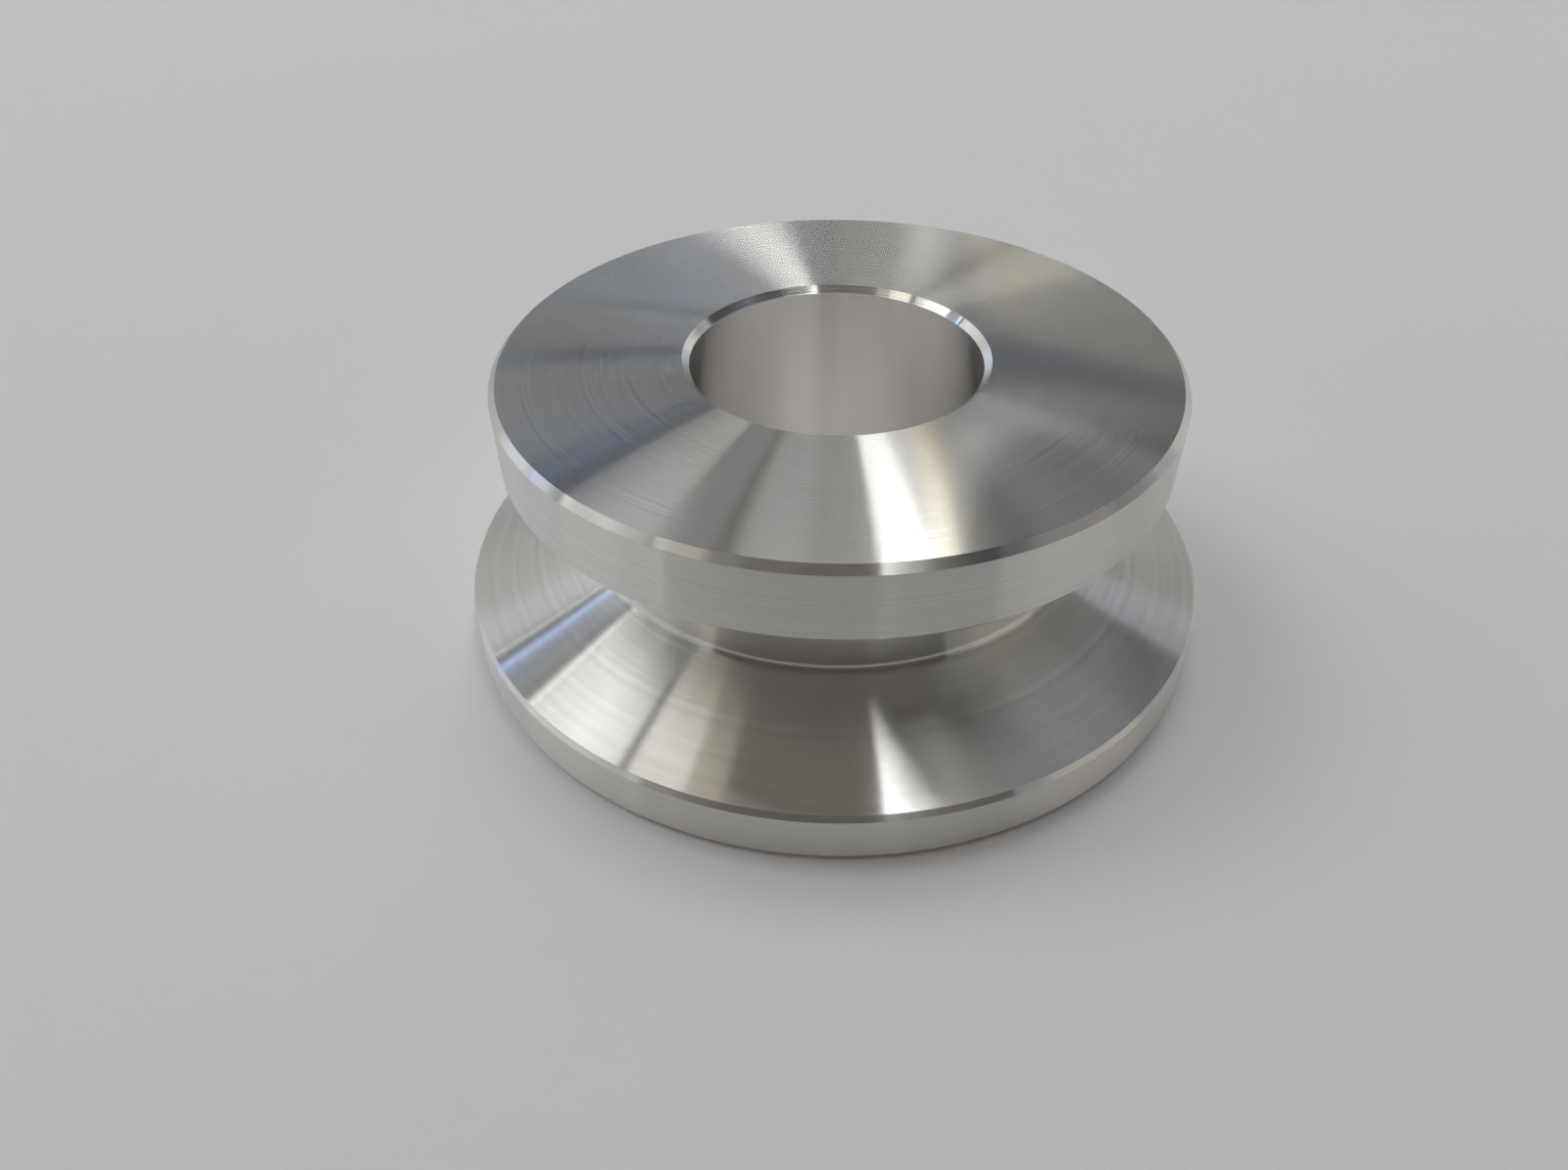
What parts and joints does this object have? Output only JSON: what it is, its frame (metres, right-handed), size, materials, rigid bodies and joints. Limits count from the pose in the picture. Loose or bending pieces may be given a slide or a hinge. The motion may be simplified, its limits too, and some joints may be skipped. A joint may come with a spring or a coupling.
{
  "type": "grooved roller",
  "caption": "Turned aluminium roller with a V groove between a narrow upper and a wider lower flange, and a plain through bore.",
  "frame": {"origin": "centre of the lower end face, on the axis of rotation", "axes": "+Z along the axis of rotation, from the wider lower flange to the narrower upper flange; X and Y are square to it and interchangeable"},
  "size_m": [0.058, 0.058, 0.0213],
  "materials": {
    "turned_aluminium": "fine turned, bright, with concentric tool marks on every face"
  },
  "bodies": {
    "root": {"grooved_roller": "turned_aluminium"}
  },
  "joints": []
}
